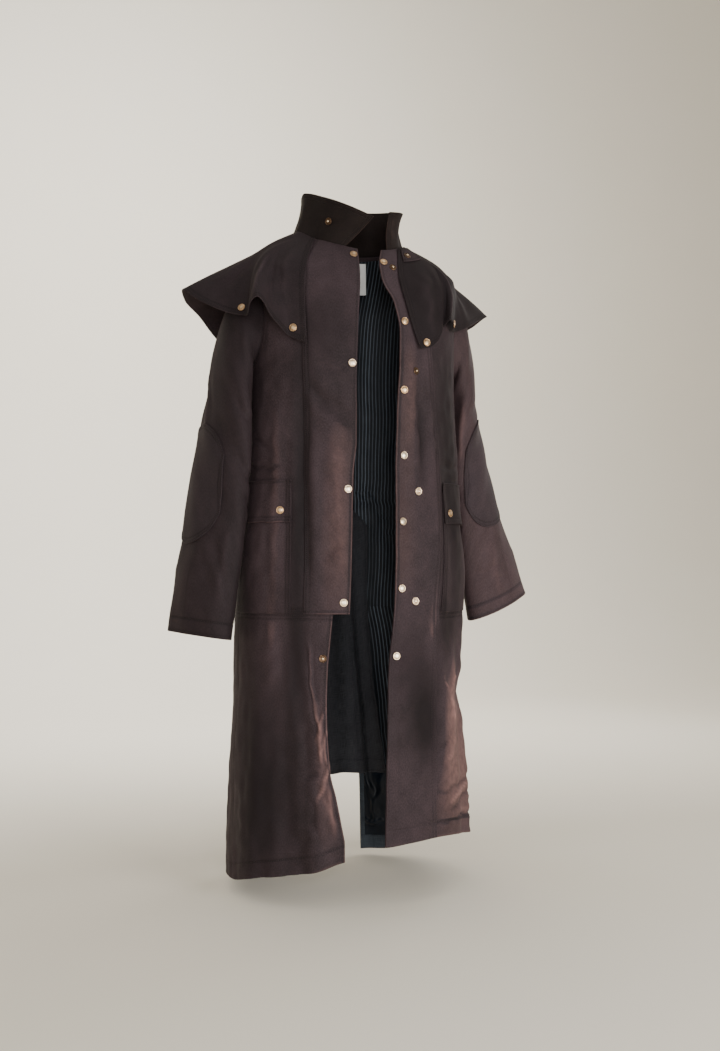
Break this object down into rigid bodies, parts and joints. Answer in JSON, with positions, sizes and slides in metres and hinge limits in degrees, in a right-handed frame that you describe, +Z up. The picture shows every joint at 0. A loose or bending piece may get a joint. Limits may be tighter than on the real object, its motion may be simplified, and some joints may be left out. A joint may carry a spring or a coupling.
{
  "type": "riding coat",
  "caption": "Full-length hollow riding coat with a shoulder cape, stand collar, open snap front, patch pockets and a back vent with a fantail, worn over other clothes.",
  "frame": {"origin": "middle of the neck seam's ring, where the wearer's shoulders carry the coat", "axes": "+Z up along the body, -Y the way the coat faces, +X towards the wearer's left"},
  "size_m": [0.7935, 0.3884, 1.3669],
  "materials": {
    "cloth": "waxed plum-brown cotton",
    "collar": "dark brown corduroy-like cotton",
    "stripes": "black lining with grey-blue stripes",
    "satin": "blue-black satin",
    "fantail": "plain charcoal cotton",
    "label": "plain white woven tape",
    "brass": "worn brass"
  },
  "bodies": {
    "root": {"front_right": "cloth", "front_left": "cloth", "back": "cloth", "skirt_front_right": "cloth", "skirt_front_left": "cloth", "skirt_back_right": "cloth", "skirt_back_left": "cloth", "placket_right": "cloth", "placket_left": "cloth", "sleeve_right": "cloth", "sleeve_left": "cloth", "elbow_patch_right": "cloth", "elbow_patch_left": "cloth", "cape_right": "cloth", "cape_left": "cloth", "throat_tab": "cloth", "pocket_right": "cloth", "pocket_left": "cloth", "pocket_flap_right": "cloth", "pocket_flap_left": "cloth", "collar": "collar", "lining_back": "stripes", "lining_skirt_left": "stripes", "satin_skirt_left": "satin", "fantail": "fantail", "label": "label", "snap_cap_right_1": "brass", "snap_cap_right_2": "brass", "snap_cap_right_3": "brass", "snap_cap_right_4": "brass", "snap_cap_left_1": "brass", "snap_cap_left_2": "brass", "snap_cap_left_3": "brass", "snap_cap_left_4": "brass", "snap_cap_left_5": "brass", "snap_cap_left_6": "brass", "snap_cap_left_7": "brass", "snap_socket_left_1": "brass", "snap_socket_left_2": "brass", "snap_socket_left_3": "brass", "snap_socket_left_4": "brass", "snap_socket_skirt_right": "brass", "snap_cape_right_front": "brass", "snap_cape_right_side": "brass", "snap_cape_left_front": "brass", "snap_cape_left_side": "brass", "snap_collar": "brass", "snap_tab": "brass", "snap_flap_right": "brass", "snap_flap_left": "brass"}
  },
  "joints": []
}
